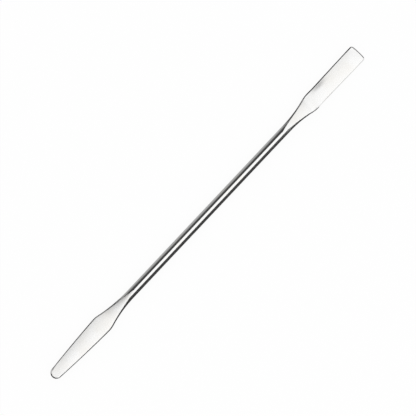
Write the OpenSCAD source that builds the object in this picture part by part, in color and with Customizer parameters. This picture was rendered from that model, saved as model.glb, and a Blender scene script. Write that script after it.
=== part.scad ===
// Double-ended laboratory spatula, forged in one piece from round stainless bar.
// One end is a long spear blade with a round tip, the other a square-ended blade.
// The bar lies along X and its underside is at Z = 0. The spear points to -X, the
// square blade to +X. "Back" is the +Y side of a blade and "front" the -Y side.

/* [Handle] */
// Length over both tips
overall_length = 152.4; // [130:0.1:220]
// Diameter of the round bar
bar_diameter = 3.2; // [2.6:0.05:4.2]

/* [Spear blade] */
// Radius of the round tip
spear_tip_radius = 2.03; // [1.4:0.01:2.6]
// Width across the shoulders
spear_width = 6.8; // [5.6:0.05:9]
// Distance from the tip to the widest point of the back edge
spear_back_shoulder = 23.9; // [18:0.1:26]
// Distance from the tip to the widest point of the front edge
spear_front_shoulder = 25; // [18:0.1:26]
// Radius of the slight curve of the long edges
spear_side_radius = 560; // [300:10:5000]
// Radius of the shoulders
spear_shoulder_radius = 8; // [3:0.5:12]
// Distance from the tip to where the hollow necks run out on the bar
spear_neck_end = 38.8; // [35:0.1:40]
// Distance from the tip to where the forged slope leaves the bar
spear_slope_start = 41.5; // [40:0.1:46]
// Radius of the slope's rounded top
spear_slope_round = 47; // [20:1:60]
// Angle of each forged slope
spear_slope_angle = 5.4; // [4.8:0.1:8]

/* [Square blade] */
// Width at the square end
square_end_width = 6.46; // [5:0.02:9]
// Radius of the two corners
square_corner_radius = 0.8; // [0.6:0.05:1.6]
// Radius of the slightly crowned end
square_nose_radius = 25; // [12:1:100]
// Width across the shoulders, before they swell
square_width = 6.04; // [4.8:0.02:9]
// How far each shoulder swells out
square_swell = 0.1; // [0:0.01:0.3]
// Distance from the end to the back shoulder
square_back_shoulder = 22.9; // [17:0.1:25]
// Distance from the end to the front shoulder
square_front_shoulder = 23.4; // [17:0.1:25]
// Radius of the slight curve of the long edges
square_side_radius = 4000; // [1000:100:6000]
// Radius of the shoulders
square_shoulder_radius = 12; // [3:0.5:16]
// Distance from the end to where the hollow necks run out on the bar
square_neck_end = 35.3; // [33:0.1:36.5]
// Distance from the end to where the forged slope leaves the bar
square_slope_start = 38.3; // [37:0.1:43]
// Radius of the slope's rounded top
square_slope_round = 31; // [20:1:60]
// Angle of each forged slope
square_slope_angle = 4.9; // [4.7:0.1:8]

/* [Blade section] */
// Thickness of both blades at their tips
tip_thickness = 0.8; // [0.5:0.05:1.2]
// Thickness of both blades where the forged slope ends
root_thickness = 1.1; // [0.8:0.05:1.4]
// Radius of the blades' rounded edges, as a share of half their thickness
edge_fullness = 1.12; // [1.02:0.02:1.6]
// Radius of the small round where a flat meets an edge
edge_fillet = 0.12; // [0.05:0.01:0.2]
// Radius of the soft crease at the foot of the forged slope
crease_radius = 20; // [2:1:30]

/* [Hidden] */
steel = [0.8, 0.8, 0.79];
bar_radius = bar_diameter / 2;
// The forged ends are this much finer than the bar that they run into, and reach into it by lap
seam = 0.004;
lap = 0.5;
forged_radius = bar_radius - seam;
// The last rings are this much thinner than the bar, so that a narrow flat is left on them
sliver = 0.0004;
// A shoulder's swell reaches this far to each side, and close rings begin there
swell_reach = 3.2;
// The bar's round side has become the blade's own edge this far past the foot of the slope
side_lead = 1;
bar_sides = 96;
nose_steps = 3;
corner_steps = 5;
blade_steps = 2;
neck_steps = 23;
fillet_steps = 2;
side_steps = 3;

function unit(v) = v / norm(v);
function smooth(t) = let (u = max(0, min(1, t))) u * u * (3 - 2 * u);
function mix(a, b, t) = a + (b - a) * t;

// The lower point at distance ra from a and rb from b
function below(a, ra, b, rb) =
    let (d = norm(b - a),
         along = (d * d + ra * ra - rb * rb) / (2 * d),
         across = sqrt(ra * ra - along * along),
         u = (b - a) / d)
    a + u * along + [u.y, -u.x] * across;

// Section of one edge as [inset, height], from the upper flat round to the lower flat:
// a side arc of radius r, which meets each flat in a small fillet
function edge_section(half_thick, r) =
    let (rise = half_thick - edge_fillet,
         out = sqrt(pow(r - edge_fillet, 2) - rise * rise),
         meet = atan2(rise, out),
         fillet = [for (i = [0 : fillet_steps - 1])
                      let (a = mix(90, meet, i / fillet_steps))
                      [r - out - edge_fillet * cos(a), rise + edge_fillet * sin(a)]],
         side = [for (i = [0 : side_steps])
                    let (a = mix(meet, 0, i / side_steps))
                    [r - r * cos(a), r * sin(a)]],
         upper = concat(fillet, side))
    concat(upper, [for (i = [len(upper) - 2 : -1 : 0]) [upper[i].x, -upper[i].y]]);

// A forged end from its tip at x = 0 to the bar, on the plane of the bar's axis. Half of its
// outline is a nose arc, a corner arc, a long side, a shoulder and a hollow neck, each
// tangent to the next. shoulders holds the shoulder's place on the +Y and on the -Y edge.
module forged_end(nose_radius, corner_radius, end_width, width, swell, shoulders, side_radius,
                  shoulder_radius, neck_end, slope_start, slope_round, slope_angle) {
    corner_y = end_width / 2 - corner_radius;
    corner = [nose_radius - sqrt(pow(nose_radius - corner_radius, 2) - corner_y * corner_y), corner_y];
    shoulder = [for (x = shoulders) [x, width / 2 - shoulder_radius]];
    side = [for (s = shoulder) below(corner, side_radius - corner_radius, s, side_radius - shoulder_radius)];
    drop = width / 2 - forged_radius;
    neck_radius = [for (s = shoulder)
                      (pow(neck_end - s.x, 2) + drop * drop) / (2 * drop) - shoulder_radius];
    neck = [for (r = neck_radius) [neck_end, forged_radius + r]];

    corner_end = [for (c = side) corner + corner_radius * unit(corner - c)];
    side_end = [for (k = [0, 1]) shoulder[k] + shoulder_radius * unit(shoulder[k] - side[k])];
    shoulder_end = [for (k = [0, 1]) shoulder[k] + shoulder_radius * unit(neck[k] - shoulder[k])];

    // The flats leave the bar in a long round, fall straight and then thin out slowly towards
    // the tip. Without the round, the straight slope would leave the bar at slope_top
    root_half = root_thickness / 2;
    tip_half = tip_thickness / 2;
    round_end = slope_start - slope_round * sin(slope_angle);
    slope_top = slope_start - slope_round * tan(slope_angle / 2);
    slope_foot = slope_top - (forged_radius - root_half) / tan(slope_angle);
    taper_angle = atan((root_half - tip_half) / slope_foot);
    crease_reach = crease_radius * tan((slope_angle - taper_angle) / 2);
    crease_start = slope_foot - crease_reach * cos(taper_angle);
    crease_end = slope_foot + crease_reach * cos(slope_angle);
    crease = [crease_start - crease_radius * sin(taper_angle),
              root_half - crease_reach * sin(taper_angle) + crease_radius * cos(taper_angle)];

    function bump(t) = abs(t) < 1 ? (1 + cos(180 * t)) / 2 : 0;
    function half_width(x, k) =
        (x < side_end[k].x ? side[k].y + sqrt(pow(side_radius, 2) - pow(x - side[k].x, 2))
         : x < shoulder_end[k].x ? shoulder[k].y + sqrt(pow(shoulder_radius, 2) - pow(x - shoulder[k].x, 2))
         : x < neck_end ? neck[k].y - sqrt(pow(neck_radius[k], 2) - pow(x - neck_end, 2))
         : forged_radius)
        + swell * bump((x - shoulders[k]) / swell_reach);
    function round_fall(past) = slope_round - sqrt(slope_round * slope_round - past * past);
    function half_thick(x) =
        x < crease_start ? tip_half + x * tan(taper_angle)
        : x < crease_end ? crease.y - sqrt(crease_radius * crease_radius - pow(x - crease.x, 2))
        : x < round_end ? forged_radius - (slope_top - x) * tan(slope_angle)
        : forged_radius - max(sliver, round_fall(max(0, slope_start - x)));
    // Round as the bar at the neck's end, then as full as the blade's edges
    function side_round(x) =
        mix(edge_fullness * half_thick(x), forged_radius,
            smooth((x - slope_foot + side_lead) / (neck_end - slope_foot + side_lead)));

    // Each station is [x, y, inward direction], one list for each side
    nose_turn = nose_radius > corner_radius ? atan2(corner.y, nose_radius - corner.x) : 0;
    function arc_station(centre, r, a) = [centre.x + r * cos(a), centre.y + r * sin(a), -[cos(a), sin(a)]];
    function tip_stations(k) =
        let (turned = 180 - nose_turn,
             last = atan2(corner_end[k].y - corner.y, corner_end[k].x - corner.x))
        concat([for (i = [0 : nose_steps - 1]) if (nose_turn > 0)
                   arc_station([nose_radius, 0], nose_radius, mix(180, turned, i / nose_steps))],
               [for (i = [0 : corner_steps])
                   arc_station(corner, corner_radius, mix(turned, last, i / corner_steps))]);
    blade_start = max(corner_end[0].x, corner_end[1].x);
    shoulder_start = min(shoulders) - swell_reach;
    along = concat([for (i = [1 : blade_steps]) mix(blade_start, shoulder_start, i / blade_steps)],
                   [for (i = [1 : neck_steps]) mix(shoulder_start, slope_start, i / neck_steps)],
                   [slope_start + lap]);
    stations = [for (k = [0, 1]) concat(tip_stations(k), [for (x = along) [x, half_width(x, k), [0, -1]]])];

    // The first station is the middle of the tip, which both sides share
    function edge_points(station, k) =
        let (mirrored = k == 0 ? 1 : -1, x = station.x, inward = station[2])
        [for (q = edge_section(half_thick(x), side_round(x)))
            [x + inward.x * q.x, mirrored * (station.y + inward.y * q.x), q.y]];
    rings = len(stations[0]);
    row = 2 * (fillet_steps + side_steps) + 1;
    points = concat(edge_points(stations[0][0], 0),
                    [for (i = [1 : rings - 1]) for (k = [0, 1]) each edge_points(stations[k][i], k)]);
    function at(i, k, j) = i == 0 ? j : row * (2 * i - 1 + k) + j;
    function facing(k, f) = k == 0 ? f : [f[2], f[1], f[0]];
    edge_faces = [for (i = [0 : rings - 2]) for (k = [0, 1]) for (j = [0 : row - 2]) each
        [facing(k, [at(i, k, j), at(i, k, j + 1), at(i + 1, k, j)]),
         facing(k, [at(i + 1, k, j), at(i, k, j + 1), at(i + 1, k, j + 1)])]];
    flat_faces = [for (i = [0 : rings - 2]) for (k = [0, 1]) each
        let (j = k == 0 ? 0 : row - 1)
        concat([facing(k, [at(i, 0, j), at(i + 1, 0, j), at(i + 1, 1, j)])],
               i == 0 ? [] : [facing(k, [at(i, 0, j), at(i + 1, 1, j), at(i, 1, j)])])];
    end_face = concat([for (j = [0 : row - 1]) at(rings - 1, 0, j)],
                      [for (j = [row - 1 : -1 : 0]) at(rings - 1, 1, j)]);
    polyhedron(points, concat(edge_faces, flat_faces, [end_face]));
}

module spear_end() {
    forged_end(nose_radius = spear_tip_radius, corner_radius = spear_tip_radius,
               end_width = 2 * spear_tip_radius, width = spear_width, swell = 0,
               shoulders = [spear_back_shoulder, spear_front_shoulder],
               side_radius = spear_side_radius, shoulder_radius = spear_shoulder_radius,
               neck_end = spear_neck_end, slope_start = spear_slope_start,
               slope_round = spear_slope_round, slope_angle = spear_slope_angle);
}

// Turned about, so its first side is the front one
module square_end() {
    rotate([0, 0, 180])
        forged_end(nose_radius = square_nose_radius, corner_radius = square_corner_radius,
                   end_width = square_end_width, width = square_width, swell = square_swell,
                   shoulders = [square_front_shoulder, square_back_shoulder],
                   side_radius = square_side_radius, shoulder_radius = square_shoulder_radius,
                   neck_end = square_neck_end, slope_start = square_slope_start,
                   slope_round = square_slope_round, slope_angle = square_slope_angle);
}

module bar() {
    length = overall_length - spear_slope_start - square_slope_start;
    translate([spear_slope_start - overall_length / 2, 0, 0])
        rotate([0, 90, 0])
            cylinder(r = bar_radius, h = length, $fn = bar_sides);
}

module spatula() {
    color(steel)
        translate([0, 0, bar_radius])
            union() {
                bar();
                translate([-overall_length / 2, 0, 0]) spear_end();
                translate([overall_length / 2, 0, 0]) square_end();
            }
}

spatula();
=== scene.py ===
import math

import bmesh
import bpy
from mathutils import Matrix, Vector


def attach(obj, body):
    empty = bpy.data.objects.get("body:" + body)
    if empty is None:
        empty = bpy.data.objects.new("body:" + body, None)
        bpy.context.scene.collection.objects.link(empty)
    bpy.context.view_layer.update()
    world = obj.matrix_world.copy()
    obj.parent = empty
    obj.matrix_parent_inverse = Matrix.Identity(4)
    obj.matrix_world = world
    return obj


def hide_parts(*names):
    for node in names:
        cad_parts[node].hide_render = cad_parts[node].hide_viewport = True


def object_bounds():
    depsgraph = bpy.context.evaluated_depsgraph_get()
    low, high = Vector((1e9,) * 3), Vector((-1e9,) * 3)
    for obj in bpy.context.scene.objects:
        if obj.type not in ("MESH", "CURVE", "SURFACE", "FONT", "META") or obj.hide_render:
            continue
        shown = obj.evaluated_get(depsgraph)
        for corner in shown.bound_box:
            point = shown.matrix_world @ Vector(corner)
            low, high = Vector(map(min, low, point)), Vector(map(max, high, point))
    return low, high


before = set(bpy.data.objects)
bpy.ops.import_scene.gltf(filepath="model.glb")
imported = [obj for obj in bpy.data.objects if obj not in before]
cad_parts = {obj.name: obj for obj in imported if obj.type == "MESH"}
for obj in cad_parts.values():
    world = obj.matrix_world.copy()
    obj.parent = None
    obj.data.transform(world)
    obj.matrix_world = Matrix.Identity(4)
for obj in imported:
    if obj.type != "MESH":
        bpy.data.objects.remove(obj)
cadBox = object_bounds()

# A double-ended lab spatula. It lies flat along X, with the spear at -X and the square blade at +X

mm = 0.001

# The spatula's sizes are in mm, as in the part's source, and each end is measured from its tip
cadSize = (cadBox[1] - cadBox[0]) / mm
barRadius = cadSize.z / 2
halfLength = cadSize.x / 2

section = {
    "tipThickness": 0.8,    # of both blades
    "rootThickness": 1.1,   # where the forged slope ends
    "edgeFullness": 1.12,   # radius of the rounded edge, in half thicknesses
    "edgeFillet": 0.12,     # between a flat and the rounded edge
    "creaseRadius": 20,     # at the foot of the slope
    "swellReach": 3.2,      # a shoulder's swell goes this far to each side
    "sideLead": 1.0,        # the edge starts to turn into the bar's round this far before the slope
    "tipWearFrom": 1, "tipWearReach": 4,    # where the wear of a tip dies away
    "slopeWearReach": 6,    # how far up the slope the wear of the long edges goes
    "barFade": 3,           # the crown and the twist die away over this before the bar
}

spear = {
    "noseRadius": 2.03, "cornerRadius": 2.03, "endWidth": 4.06,
    "width": 6.776, "swell": 0.0, "shoulders": (23.9, 25.0),    # back edge, front edge
    "sideRadius": 560, "shoulderRadius": 8, "neckEnd": 38.8,
    "slopeStart": 41.5, "slopeRound": 47, "slopeAngle": 5.4,
    "tipWear": 0.9,         # how much broader the edge's round is at the tip
    "edgeWear": (0, 0.16),  # and along the back and the front edge
    "wearSpots": ((1, 30, 11, 0.3),),   # which edge, where, how far it reaches, how much broader
    "twist": 2.2, "twistFrom": 28, "twistReach": 9,     # of the slope, in degrees towards +Y
    "crown": 0.08,          # how far the middle of a face stands proud of its edges
    "crownFade": 0.7, "crownFrom": 9,   # it fades as the face narrows, and over this at the tip
}

square = {      # made like the spear and then turned about, so here the front edge comes first
    "noseRadius": 25, "cornerRadius": 0.8, "endWidth": 6.46,
    "width": 6.04, "swell": 0.1, "shoulders": (23.4, 22.9),
    "sideRadius": 4000, "shoulderRadius": 12, "neckEnd": 35.3,
    "slopeStart": 38.3, "slopeRound": 31, "slopeAngle": 4.9,
    "tipWear": 0.35, "edgeWear": (0.1, 0.2),
    "wearSpots": ((0, 30, 7, 0.15), (0, 23, 5, -0.35)),
    "twist": 0, "twistFrom": 28, "twistReach": 9,
    "crown": 0.085, "crownFade": 2, "crownFrom": 3,
    "footHollow": 0.07, "footPlace": 25.2, "footReach": 1.8,    # left by the hammer
    "footBow": 1.2,         # how far it bows towards the tip
    "footSides": 0.15,      # it fades over this at the edges, in half widths
    "dip": 0.11, "dipPlace": 17.8, "dipReach": 4.5,     # a worn dip beside the back edge
    "dipFrom": 0.33, "dipWidth": 0.65,      # across the blade, in half widths
}

mesh = {
    "noseRows": 5, "cornerRows": 12, "bladeRows": 36, "neckRows": 90, "barRows": 24,
    "filletSteps": 4, "sideSteps": 9,
    "satinWidth": 0.6,      # a face narrower than this starts to turn into polished bar
    "mergeDistance": 0.00002,
}
acrossFace = [-1, -0.985, -0.94] + [-0.85 + 0.17 * i for i in range(11)] + [0.94, 0.985, 1]


def unit(v):
    return v / v.length


def smooth(t):
    t = max(0.0, min(1.0, t))
    return t * t * (3 - 2 * t)


def mix(a, b, t):
    return a + (b - a) * t


def lowerCrossing(a, reachA, b, reachB):    # the lower point at these distances from a and b
    d = (b - a).length
    along = (d * d + reachA * reachA - reachB * reachB) / (2 * d)
    aside = math.sqrt(reachA * reachA - along * along)
    u = (b - a) / d
    return a + u * along + Vector((u.y, -u.x)) * aside


def edgeSection(halfThick, radius):     # (inset, height) from the upper flat round to the lower
    fillet = section["edgeFillet"]
    rise = halfThick - fillet
    out = math.sqrt((radius - fillet) ** 2 - rise ** 2)
    meet = math.atan2(rise, out)
    upper = []
    for i in range(mesh["filletSteps"]):
        a = mix(math.pi / 2, meet, i / mesh["filletSteps"])
        upper.append((radius - out - fillet * math.cos(a), rise + fillet * math.sin(a)))
    for i in range(mesh["sideSteps"] + 1):
        a = mix(meet, 0, i / mesh["sideSteps"])
        upper.append((radius - radius * math.cos(a), radius * math.sin(a)))
    return upper + [(inset, -height) for inset, height in reversed(upper[:-1])]


class ForgedEnd:    # one end, from its tip at x = 0 to the bar; side 0 is +Y and side 1 is -Y
    def __init__(self, size):
        self.size = size
        corner = size["cornerRadius"]
        shoulder = size["shoulderRadius"]
        long = size["sideRadius"]
        cornerY = size["endWidth"] / 2 - corner
        nose = size["noseRadius"]
        self.corner = Vector((nose - math.sqrt((nose - corner) ** 2 - cornerY ** 2), cornerY))
        drop = size["width"] / 2 - barRadius
        self.shoulder, self.side, self.neck, self.neckRadius = [], [], [], []
        self.cornerEnd, self.sideEnd, self.shoulderEnd = [], [], []
        for x in size["shoulders"]:
            s = Vector((x, size["width"] / 2 - shoulder))
            c = lowerCrossing(self.corner, long - corner, s, long - shoulder)
            r = ((size["neckEnd"] - x) ** 2 + drop ** 2) / (2 * drop) - shoulder
            n = Vector((size["neckEnd"], barRadius + r))
            self.shoulder.append(s)
            self.side.append(c)
            self.neck.append(n)
            self.neckRadius.append(r)
            self.cornerEnd.append(self.corner + corner * unit(self.corner - c))
            self.sideEnd.append(s + shoulder * unit(s - c))
            self.shoulderEnd.append(s + shoulder * unit(n - s))
        self.rootHalf = section["rootThickness"] / 2
        self.tipHalf = section["tipThickness"] / 2
        self.angle = math.radians(size["slopeAngle"])
        self.straightTop = size["slopeStart"] - size["slopeRound"] * math.tan(self.angle / 2)
        self.slopeFoot = self.straightTop - (barRadius - self.rootHalf) / math.tan(self.angle)
        self.taper = math.atan((self.rootHalf - self.tipHalf) / self.slopeFoot)
        radius = section["creaseRadius"]
        reach = radius * math.tan((self.angle - self.taper) / 2)
        self.creaseStart = self.slopeFoot - reach * math.cos(self.taper)
        self.creaseEnd = self.slopeFoot + reach * math.cos(self.angle)
        self.crease = Vector((self.creaseStart - radius * math.sin(self.taper),
                              self.rootHalf - reach * math.sin(self.taper)
                              + radius * math.cos(self.taper)))

    def halfWidth(self, x, side):
        size = self.size
        if x < self.sideEnd[side].x:
            centre, r = self.side[side], size["sideRadius"]
            y = centre.y + math.sqrt(r * r - (x - centre.x) ** 2)
        elif x < self.shoulderEnd[side].x:
            centre, r = self.shoulder[side], size["shoulderRadius"]
            y = centre.y + math.sqrt(r * r - (x - centre.x) ** 2)
        elif x < size["neckEnd"]:
            centre, r = self.neck[side], self.neckRadius[side]
            y = centre.y - math.sqrt(r * r - (x - centre.x) ** 2)
        else:
            return barRadius
        t = (x - size["shoulders"][side]) / section["swellReach"]
        return y + (size["swell"] * (1 + math.cos(math.pi * t)) / 2 if abs(t) < 1 else 0)

    def halfThick(self, x):
        if x < self.creaseStart:
            return self.tipHalf + x * math.tan(self.taper)
        if x < self.creaseEnd:
            r = section["creaseRadius"]
            return self.crease.y - math.sqrt(r * r - (x - self.crease.x) ** 2)
        past = self.size["slopeStart"] - x
        r = self.size["slopeRound"]
        if past > r * math.sin(self.angle):
            return barRadius - (self.straightTop - x) * math.tan(self.angle)
        return barRadius - r + math.sqrt(r * r - past * past) if past > 0 else barRadius

    def sideRound(self, x):
        lead = section["sideLead"]
        t = (x - self.slopeFoot + lead) / (self.size["neckEnd"] - self.slopeFoot + lead)
        return mix(section["edgeFullness"] * self.halfThick(x), barRadius, smooth(t))

    def stations(self, side):   # (place on the outline, inward direction) from the tip's middle
        size = self.size
        found = []

        def arc(centre, r, a):
            away = Vector((math.cos(a), math.sin(a)))
            found.append((centre + r * away, -away))

        noseTurn = 0
        if size["noseRadius"] > size["cornerRadius"]:
            noseTurn = math.atan2(self.corner.y, size["noseRadius"] - self.corner.x)
            for i in range(mesh["noseRows"]):
                a = mix(math.pi, math.pi - noseTurn, i / mesh["noseRows"])
                arc(Vector((size["noseRadius"], 0)), size["noseRadius"], a)
        last = self.cornerEnd[side] - self.corner
        for i in range(mesh["cornerRows"] + 1):
            a = mix(math.pi - noseTurn, math.atan2(last.y, last.x), i / mesh["cornerRows"])
            arc(self.corner, size["cornerRadius"], a)
        bladeFrom = max(end.x for end in self.cornerEnd)
        neckFrom = min(size["shoulders"]) - section["swellReach"]
        along = [mix(bladeFrom, neckFrom, (i + 1) / mesh["bladeRows"])
                 for i in range(mesh["bladeRows"])]
        along += [mix(neckFrom, size["slopeStart"], (i + 1) / mesh["neckRows"])
                  for i in range(mesh["neckRows"])]
        found += [(Vector((x, self.halfWidth(x, side))), Vector((0, -1))) for x in along]
        return found

    def rows(self):     # each row is one closed ring of points: face, -Y edge, under face, +Y edge
        rows = []
        for (back, backIn), (front, frontIn) in zip(self.stations(0), self.stations(1)):
            half = self.halfThick(back.x)
            shape = edgeSection(half, self.sideRound(back.x))
            backWear, frontWear = self.wear(back.x, 0), self.wear(back.x, 1)
            backEdge = [Vector((*(back + backIn * inset * backWear), z)) for inset, z in shape]
            frontEdge = [Vector((*(front + frontIn * inset * frontWear), z)) for inset, z in shape]
            for p in frontEdge:
                p.y = -p.y
            face = [backEdge[0].lerp(frontEdge[0], (1 - t) / 2) for t in reversed(acrossFace)]
            under = [frontEdge[-1].lerp(backEdge[-1], (1 - t) / 2) for t in reversed(acrossFace)]
            self.raiseCrown(face, 1)
            self.raiseCrown(under, -1)
            row = face + frontEdge[1:-1] + under + list(reversed(backEdge[1:-1]))
            for p in row:
                p.z -= self.markDepth(p.x, p.y) * min(1, max(0, p.z / half))
            turn = self.twistAt(back.x)
            cosTurn, sinTurn = math.cos(turn), math.sin(turn)
            for p in row:
                p.y, p.z = p.y * cosTurn + p.z * sinTurn, p.z * cosTurn - p.y * sinTurn
            rows.append(row)
        return rows

    def wear(self, x, side):    # how broad the round of an edge is beside the one it was made with
        size = self.size
        tip = size["tipWear"] * (1 - smooth((x - section["tipWearFrom"]) / section["tipWearReach"]))
        upSlope = (x - self.slopeFoot) / section["slopeWearReach"]
        long = size["edgeWear"][side] * (1 - smooth(upSlope))
        spots = sum(share * smooth(1 - abs(x - place) / reach)
                    for edge, place, reach, share in size["wearSpots"] if edge == side)
        return 1 + tip + long + spots

    def bladeShare(self, x):    # 1 on the blade, and down to 0 where the bar starts
        return smooth((self.size["slopeStart"] - x) / section["barFade"])

    def twistAt(self, x):
        share = smooth((x - self.size["twistFrom"]) / self.size["twistReach"]) * self.bladeShare(x)
        return math.radians(self.size["twist"]) * share

    def raiseCrown(self, face, up):
        x = face[0].x
        wide = abs(face[0].y - face[-1].y) / self.size["width"]
        fade = smooth(x / self.size["crownFrom"]) * self.bladeShare(x)
        fade *= wide ** self.size["crownFade"]
        for p, t in zip(face, acrossFace):
            p.z += up * self.size["crown"] * fade * (1 - t * t)

    def markDepth(self, x, y):      # of the shallow marks in the upper face
        size = self.size
        if "dip" not in size:
            return 0
        aside = y / size["width"] * 2
        place = (x - size["footPlace"] + size["footBow"] * (1 - aside * aside)) / size["footReach"]
        foot = size["footHollow"] * math.exp(-place * place)
        foot *= smooth((1 - abs(aside)) / size["footSides"])
        along = max(0, 1 - ((x - size["dipPlace"]) / size["dipReach"]) ** 2)
        across = smooth((-aside - size["dipFrom"]) / size["dipWidth"])
        return foot + size["dip"] * along * along * across


def spatulaRows():
    left, right = ForgedEnd(spear), ForgedEnd(square)
    rows = [[Vector((p.x - halfLength, p.y, p.z)) for p in row] for row in left.rows()]
    handle = [spear["slopeStart"] - halfLength, halfLength - square["slopeStart"]]
    last = rows[-1]
    for i in range(1, mesh["barRows"]):
        x = mix(handle[0], handle[1], i / mesh["barRows"])
        rows.append([Vector((x, p.y, p.z)) for p in last])
    # The square end is made pointing the other way, so it is turned half a turn about Z
    faceCount = len(acrossFace)
    edgeCount = len(last) // 2 - faceCount
    for row in reversed(right.rows()):
        turned = [Vector((halfLength - p.x, -p.y, p.z)) for p in row]
        face, front = turned[:faceCount], turned[faceCount:faceCount + edgeCount]
        under = turned[faceCount + edgeCount:2 * faceCount + edgeCount]
        back = turned[2 * faceCount + edgeCount:]
        rows.append(list(reversed(face)) + list(reversed(back))
                    + list(reversed(under)) + list(reversed(front)))
    return rows


def buildSpatula(rows):
    shape = bmesh.new()
    satin = shape.verts.layers.float.new("satin")
    faceCount = len(acrossFace)
    count = len(rows[0])
    edgeCount = count // 2 - faceCount
    rings = []
    for row in rows:
        satinShare = smooth((row[0].y - row[faceCount - 1].y) / mesh["satinWidth"])
        ring = []
        for i, p in enumerate(row):
            v = shape.verts.new((p.x * mm, p.y * mm, (p.z + barRadius) * mm))
            onFace = i < faceCount or faceCount + edgeCount <= i < 2 * faceCount + edgeCount
            v[satin] = satinShare if onFace else 0.0
            ring.append(v)
        rings.append(ring)
    for a, b in zip(rings, rings[1:]):
        for i in range(count):
            j = (i + 1) % count
            shape.faces.new((a[i], b[i], b[j], a[j]))
    bmesh.ops.remove_doubles(shape, verts=shape.verts, dist=mesh["mergeDistance"] * mm)
    bmesh.ops.recalc_face_normals(shape, faces=shape.faces)
    for f in shape.faces:
        f.smooth = True
    data = bpy.data.meshes.new("spatulaSteel")
    shape.to_mesh(data)
    shape.free()
    piece = bpy.data.objects.new("spatula_steel", data)
    bpy.context.scene.collection.objects.link(piece)
    return piece


rows = spatulaRows()
print("spatula: outline and sections in", len(rows), "rows")
piece = buildSpatula(rows)
print("spatula: mesh of", len(piece.data.polygons), "faces")


class Wire:     # one shader socket, so that sums between sockets are written as sums
    def __init__(self, tree, socket=None):
        self.tree, self.socket = tree, socket

    def add(self, kind, settings=None, inputs=None, output=0):
        node = self.tree.nodes.new(kind)
        for name, value in (settings or {}).items():
            setattr(node, name, value)
        for name, value in (inputs or {}).items():
            if isinstance(value, Wire):
                self.tree.links.new(value.socket, node.inputs[name])
            else:
                node.inputs[name].default_value = value
        return Wire(self.tree, node.outputs[output]) if len(node.outputs) else node

    def mix(self, share, a, b):     # of two colours
        return self.add("ShaderNodeMix", {"data_type": "RGBA"}, {0: share, 6: a, 7: b}, output=2)

    def math(self, operation, a, b):
        return self.add("ShaderNodeMath", {"operation": operation}, {0: a, 1: b})

    def __add__(self, other):
        return self.math("ADD", self, other)

    def __sub__(self, other):
        return self.math("SUBTRACT", self, other)

    def __rsub__(self, other):
        return self.math("SUBTRACT", other, self)

    def __mul__(self, other):
        return self.math("MULTIPLY", self, other)

    __radd__, __rmul__ = __add__, __mul__


def newMaterial(name):
    material = bpy.data.materials.new(name)
    material.use_nodes = True
    material.node_tree.nodes.clear()
    return material, Wire(material.node_tree)


steel = {
    "colour": (0.76, 0.76, 0.755, 1), "warmColour": (0.775, 0.765, 0.745, 1),
    "barRoughness": 0.12, "faceRoughness": 0.27,
    "handling": 0.03,       # how much rougher it is where it was handled
    "cloudsPerMetre": 190, "cloudDetail": 2.0, "cloudRoughness": 0.4,
    "cloudsFrom": 0.42, "cloudsTo": 0.7,
    "lineLength": 0.007, "lineWidth": 0.00022, "lineDepth": 3e-7,   # of the grinding lines, in m
    "lineDetail": 3.0, "lineRoughness": 0.05,
}


def steelFinish():
    material, tree = newMaterial("spatulaSteel")
    satin = tree.add("ShaderNodeAttribute", {"attribute_name": "satin"}, output="Fac")
    place = tree.add("ShaderNodeTexCoord", output="Object")
    across = 1 / steel["lineWidth"]
    stretched = tree.add("ShaderNodeMapping", {}, {
        "Vector": place, "Scale": (1 / steel["lineLength"], across, across)})
    lines = tree.add("ShaderNodeTexNoise", {}, {
        "Vector": stretched, "Scale": 1.0, "Detail": steel["lineDetail"]})
    clouds = tree.add("ShaderNodeTexNoise", {}, {
        "Vector": place, "Scale": steel["cloudsPerMetre"], "Detail": steel["cloudDetail"],
        "Roughness": steel["cloudRoughness"]})
    worn = tree.add("ShaderNodeMapRange", {}, {
        "Value": clouds, "From Min": steel["cloudsFrom"], "From Max": steel["cloudsTo"]})
    roughness = (steel["barRoughness"] + satin * (steel["faceRoughness"] - steel["barRoughness"])
                 + worn * steel["handling"] + satin * (lines - 0.5) * steel["lineRoughness"])
    colour = tree.mix(worn, steel["colour"], steel["warmColour"])
    relief = tree.add("ShaderNodeBump", {}, {
        "Strength": 1.0, "Distance": steel["lineDepth"], "Height": satin * lines})
    shader = tree.add("ShaderNodeBsdfPrincipled", {}, {
        "Base Color": colour, "Metallic": 1.0, "Roughness": roughness, "Normal": relief})
    tree.add("ShaderNodeOutputMaterial", {}, {"Surface": shader})
    return material


piece.data.materials.append(steelFinish())
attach(piece, "root")
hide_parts("spatula")
print("steel: finish on the spatula")

# Polished steel shows what stands round it. From here on lengths are in m, and angles are measured
# at the bar, in degrees from straight up, positive towards +Y

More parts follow.
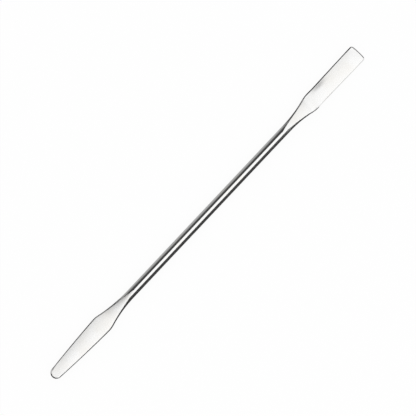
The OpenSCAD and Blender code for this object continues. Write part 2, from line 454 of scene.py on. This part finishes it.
studio = {
    "reach": 0.6,                   # radius of the dome and height of the lamp
    "lampFrom": -46, "lampTo": 12,  # over the handle
    "bladeFall": (6, 22),           # over the blades its light dies away between these
    "slopeFall": (-4, 14),          # and over the spear's slope between these
    "shoulderFall": 9,              # how much earlier over the spear's shoulders
    "shoulderFrom": -0.15, "shoulderReach": 0.03,
    "lampEnds": (-0.3, 0.27),
    "slopeFrom": -0.19,             # the spear's slope mirrors what is further out than this
    "bladeFrom": 0.1, "bladeReach": 0.02,       # and only the blades what is further out than this
    "lampLevel": 1.3, "spearLamp": 1.48, "slopeLamp": 1.5, "squareLamp": 1.44, "roomLevel": 1.0,
    "frontRoom": 0.8, "roomFrom": 0.097, "roomReach": 0.01,     # where the room shows in front
    "black": 0.06, "grey": 0.52, "endGrey": 0.25,
    "greyFrom": 45, "greyTo": 100,  # the back turns from black to grey between these
    "handleEnds": (-0.043, 0.043),  # where the handle is mirrored, close to it
    "spread": 0.09,                 # how that widens with the distance
    "spreadSoft": (0.004, 0.04),    # how soft its ends are close to the handle, and how that grows
    "tipFrom": -0.35, "endFrom": 0.36,      # where the dome turns dark before and behind the object
    "windows": ((225, 25, 1), (45, 15, 1), (315, 25, 0.3), (135, 20, 0.3)),     # round, up, level
    "windowReach": 19,
    "angleSoft": 3, "windowSoft": 6, "lampSoft": 0.02, "endSoft": 0.03,
}

cards = {
    "domeGrid": (121, 161), "domeLength": 0.995,        # a share of the reach
    "low": 0.00005,                 # height of the cards that lie on the floor
    "backGrid": (30, 401), "backEnd": 0.076, "backWiden": 0.2,
    "frontEnds": (0.053, 0.12),     # near the object and far from it
    "tailFrom": 0.0762, "tailHalf": 0.0028, "tailWiden": 60,    # the card past the square end
}


def glowing(name):
    material, tree = newMaterial(name)
    level = tree.add("ShaderNodeAttribute", {"attribute_name": "level"}, output="Fac")
    glow = tree.add("ShaderNodeEmission", {}, {"Color": (1, 1, 1, 1), "Strength": level})
    tree.add("ShaderNodeOutputMaterial", {}, {"Surface": glow})
    return material


def addSheet(name, points, across, material):       # a grid of points, row after row
    data = bpy.data.meshes.new(name)
    rows = len(points) // across
    faces = [(i * across + j, i * across + j + 1, (i + 1) * across + j + 1, (i + 1) * across + j)
             for i in range(rows - 1) for j in range(across - 1)]
    data.from_pydata(points, [], faces)
    data.materials.append(material)
    sheet = bpy.data.objects.new(name, data)
    bpy.context.scene.collection.objects.link(sheet)
    return sheet


# Painted reflection: these glowing cards are seen only in the metal. The dome stands in for the lamp,
# dark flags and windows, and the cards on the floor paint dark and grey reflections of the floor beside
# the object
def card(name, grid, place, level, material):       # seen only in the metal
    rows, across = grid
    spots = [(i / (rows - 1), j / (across - 1)) for i in range(rows) for j in range(across)]
    sheet = addSheet(name, [place(u, v) for u, v in spots], across, material)
    levels = sheet.data.attributes.new("level", "FLOAT", "POINT")
    for item, (u, v) in zip(levels.data, spots):
        item.value = level(u, v)
    sheet.visible_camera = sheet.visible_diffuse = sheet.visible_shadow = False
    sheet.visible_transmission = sheet.visible_volume_scatter = False


def step(past, soft):       # from 0 to 1 over the width soft, halfway where past is 0
    return smooth(past / soft + 0.5)


def handleShare(x, away):   # 1 where the handle mirrors this place, 0 where only the blades do
    left, right = studio["handleEnds"]
    softNear, softGrowth = studio["spreadSoft"]
    widen, soft = studio["spread"] * away, softNear + softGrowth * away
    return smooth((x - left + widen) / soft) * smooth((right + widen - x) / soft)


def onDome(angle, x):
    across = math.sqrt(studio["reach"] ** 2 - x * x)
    angle = math.radians(angle)
    return (x, math.sin(angle) * across, math.cos(angle) * across + cards["low"])


def towards(turn, up):      # a direction, turned from -Y towards +X and raised from the floor
    turn, up = math.radians(turn), math.radians(up)
    return Vector((math.sin(turn) * math.cos(up), -math.cos(turn) * math.cos(up), math.sin(up)))


def lampShare(angle, x, blade, slope):      # how much of the lamp is left towards the back
    shoulder = smooth((x - studio["shoulderFrom"]) / studio["shoulderReach"])
    early = studio["shoulderFall"] * shoulder if x < 0 else 0
    falls = zip(studio["bladeFall"], studio["slopeFall"])
    fallFrom, fallTo = [mix(a - early, b, slope) for a, b in falls]
    overHandle = step(studio["lampTo"] - angle, studio["angleSoft"])
    return mix(overHandle, smooth((fallTo - angle) / (fallTo - fallFrom)), blade)


def domeLevel(angle, x):
    black, pale = studio["black"], studio["roomLevel"]
    blade = smooth((abs(x) - studio["bladeFrom"]) / studio["bladeReach"])
    slope = step(studio["slopeFrom"] - x, studio["endSoft"])
    spearLamp = mix(studio["spearLamp"], studio["slopeLamp"], slope)
    lamp = mix(studio["lampLevel"], studio["squareLamp"] if x > 0 else spearLamp, blade)
    lamp = mix(pale, lamp, step(x - studio["lampEnds"][0], studio["lampSoft"]))
    lamp = mix(lamp, pale, step(x - studio["lampEnds"][1], studio["lampSoft"]))
    roomShare = smooth((x - studio["roomFrom"]) / studio["roomReach"])
    front = mix(black, studio["frontRoom"], roomShare)
    ramp = smooth((angle - studio["greyFrom"]) / (studio["greyTo"] - studio["greyFrom"]))
    back = mix(black, studio["grey"], ramp * handleShare(x, studio["reach"]))
    above = mix(back, lamp, lampShare(angle, x, blade, slope))
    level = mix(front, above, step(angle - studio["lampFrom"], studio["angleSoft"]))
    level = mix(level, black, step(studio["tipFrom"] - x, studio["endSoft"]))
    level = mix(level, studio["endGrey"], step(x - studio["endFrom"], studio["endSoft"]))
    here = Vector(onDome(angle, x))
    for turn, up, light in studio["windows"]:
        away = math.degrees(here.angle(towards(turn, up)))
        windowShare = step(studio["windowReach"] - away, studio["windowSoft"])
        level = mix(level, max(level, light), windowShare)
    return level


def setCards():
    glow = glowing("cardGlow")
    reach, low, black, grey = studio["reach"], cards["low"], studio["black"], studio["grey"]

    def domeSpot(u, v):
        return mix(-90, 90, u), mix(-cards["domeLength"], cards["domeLength"], v) * reach

    def backSpot(u, v):
        away = reach * u * u
        return mix(-reach, cards["backEnd"] + cards["backWiden"] * away, v), away

    def frontSpot(u, v):
        near, far = cards["frontEnds"]
        return mix(-reach, mix(near, far, u), v), -reach * u, low

    def tailSpot(u, v):
        half = cards["tailHalf"]
        return mix(cards["tailFrom"], reach, u), mix(-half, half, v) * (1 + cards["tailWiden"] * u), low

    card("cardDome", cards["domeGrid"], lambda u, v: onDome(*domeSpot(u, v)),
         lambda u, v: domeLevel(*domeSpot(u, v)), glow)
    card("cardFloorBack", cards["backGrid"], lambda u, v: (*backSpot(u, v), low),
         lambda u, v: mix(black, grey, handleShare(*backSpot(u, v))), glow)
    card("cardFloorFront", (2, 2), frontSpot, lambda u, v: black, glow)
    card("cardFloorEnd", (2, 2), tailSpot, lambda u, v: studio["endGrey"], glow)


setCards()
print("studio: dome and floor cards")

room = {
    "lampPower": 1.0,       # for each square metre of the lamp, in W
    "worldLevel": 0.87,
    "floorSide": 3.5, "floorColour": 0.96, "floorOwnLight": 0.93,
}


def setLamp():      # the metal sees the lamp on the dome, so this one only lights the floor
    height = studio["reach"]
    back = height * math.tan(math.radians(studio["lampTo"]))
    front = height * math.tan(math.radians(studio["lampFrom"]))
    left, right = studio["lampEnds"]
    light = bpy.data.lights.new("softBox", "AREA")
    light.shape = "RECTANGLE"
    light.size, light.size_y = right - left, back - front
    light.energy = room["lampPower"] * light.size * light.size_y
    lamp = bpy.data.objects.new("softBox", light)
    lamp.location = ((left + right) / 2, (back + front) / 2, height)
    lamp.visible_camera = lamp.visible_glossy = False
    bpy.context.scene.collection.objects.link(lamp)


def seenDirectly(tree):     # 1 for the camera and for what metal and glass show
    path = tree.add("ShaderNodeLightPath").socket.node
    camera, glossy, through = [Wire(tree.tree, path.outputs[name])
                               for name in ("Is Camera Ray", "Is Glossy Ray", "Is Transmission Ray")]
    return camera + glossy + through


def setWorld():
    world = bpy.data.worlds.new("paleRoom")
    bpy.context.scene.world = world
    world.use_nodes = True
    world.node_tree.nodes.clear()
    tree = Wire(world.node_tree)
    level = room["worldLevel"] + seenDirectly(tree) * (1 - room["worldLevel"])
    glow = tree.add("ShaderNodeBackground", {}, {"Color": (1, 1, 1, 1), "Strength": level})
    tree.add("ShaderNodeOutputWorld", {}, {"Surface": glow})


def setFloor():
    material, tree = newMaterial("paleFloor")
    shade, side = room["floorColour"], room["floorSide"]
    paper = tree.add("ShaderNodeBsdfDiffuse", {}, {"Color": (shade, shade, shade, 1)})
    glow = tree.add("ShaderNodeEmission", {}, {"Color": (1, 1, 1, 1), "Strength": 1.0})
    share = seenDirectly(tree) * room["floorOwnLight"]
    surface = tree.add("ShaderNodeMixShader", {}, {0: share, 1: paper, 2: glow})
    tree.add("ShaderNodeOutputMaterial", {}, {"Surface": surface})
    corners = [(-side, -side, 0), (side, -side, 0), (-side, side, 0), (side, side, 0)]
    addSheet("floor", corners, 2, material)


setLamp()
setWorld()
setFloor()
print("room: lamp, world and floor")

camera = {
    "lens": 120, "sensor": 36, "nearest": 0.01,
    "frameWidth": 0.1419,       # of the plane through the middle of the object
    "turn": -46.73,             # the spatula lies on the frame's diagonal
    "offCentre": (0.00085, 0.00222),    # the frame's middle from the object's, right and up
}


def setCamera():
    data = bpy.data.cameras.new("camera")
    data.lens, data.sensor_width = camera["lens"], camera["sensor"]
    data.clip_start = camera["nearest"]
    turn = math.radians(camera["turn"])
    right = Vector((math.cos(turn), math.sin(turn), 0))
    up = Vector((-math.sin(turn), math.cos(turn), 0))
    distance = camera["frameWidth"] * camera["lens"] / camera["sensor"]
    holder = bpy.data.objects.new("camera", data)
    holder.location = right * camera["offCentre"][0] + up * camera["offCentre"][1]
    holder.location.z = barRadius * mm + distance
    holder.rotation_euler = (0, 0, turn)
    bpy.context.scene.collection.objects.link(holder)
    bpy.context.scene.camera = holder


setCamera()
bpy.context.scene.view_settings.view_transform = "Standard"
print("camera: straight above the spatula")
